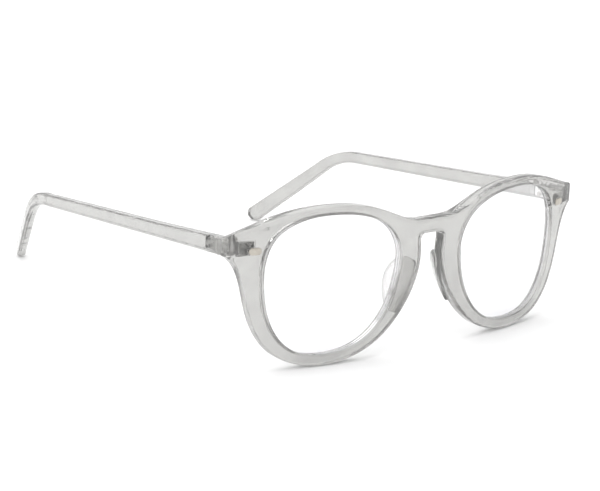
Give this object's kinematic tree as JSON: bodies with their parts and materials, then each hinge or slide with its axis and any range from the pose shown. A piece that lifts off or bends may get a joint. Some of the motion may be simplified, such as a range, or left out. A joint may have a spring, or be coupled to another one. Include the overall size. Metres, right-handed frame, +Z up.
{
  "type": "eyeglasses",
  "caption": "Clear plastic eyeglasses with panto lenses, a keyhole bridge, moulded nose pads and two temples that fold on riveted barrel hinges.",
  "frame": {"origin": "on the table under the middle of the bounding box, with the temples open", "axes": "+X to the wearer's left, +Y from the front towards the temple tips, +Z up"},
  "size_m": [0.1404, 0.154, 0.0489],
  "materials": {
    "crystal_plastic": "polished, clear, colourless",
    "lens": "polished, coated",
    "nose_pad": "polished, clear",
    "plaque": "satin",
    "hinge_metal": "satin",
    "fastener_metal": "polished"
  },
  "bodies": {
    "front": {"front_frame": "crystal_plastic", "lens_left": "lens", "lens_right": "lens", "nose_pad_left": "nose_pad", "nose_pad_right": "nose_pad", "end_plaque_left": "plaque", "end_plaque_right": "plaque", "front_hinge_left": "hinge_metal", "front_hinge_right": "hinge_metal", "front_rivets_left": "fastener_metal", "front_rivets_right": "fastener_metal", "hinge_screw_left": "fastener_metal", "hinge_screw_right": "fastener_metal"},
    "left_temple": {"temple_left": "crystal_plastic", "temple_hinge_left": "hinge_metal", "temple_rivets_left": "fastener_metal"},
    "right_temple": {"temple_right": "crystal_plastic", "temple_hinge_right": "hinge_metal", "temple_rivets_right": "fastener_metal"}
  },
  "joints": [
    {"name": "left_temple_hinge", "type": "hinge", "parent": "front", "child": "left_temple", "pos_m": [0.0644, -0.0604, 0.0377], "axis": [0, 0, 1], "range_deg": [0, 86]},
    {"name": "right_temple_hinge", "type": "hinge", "parent": "front", "child": "right_temple", "pos_m": [-0.0644, -0.0604, 0.0377], "axis": [0, 0, -1], "range_deg": [0, 76]}
  ]
}
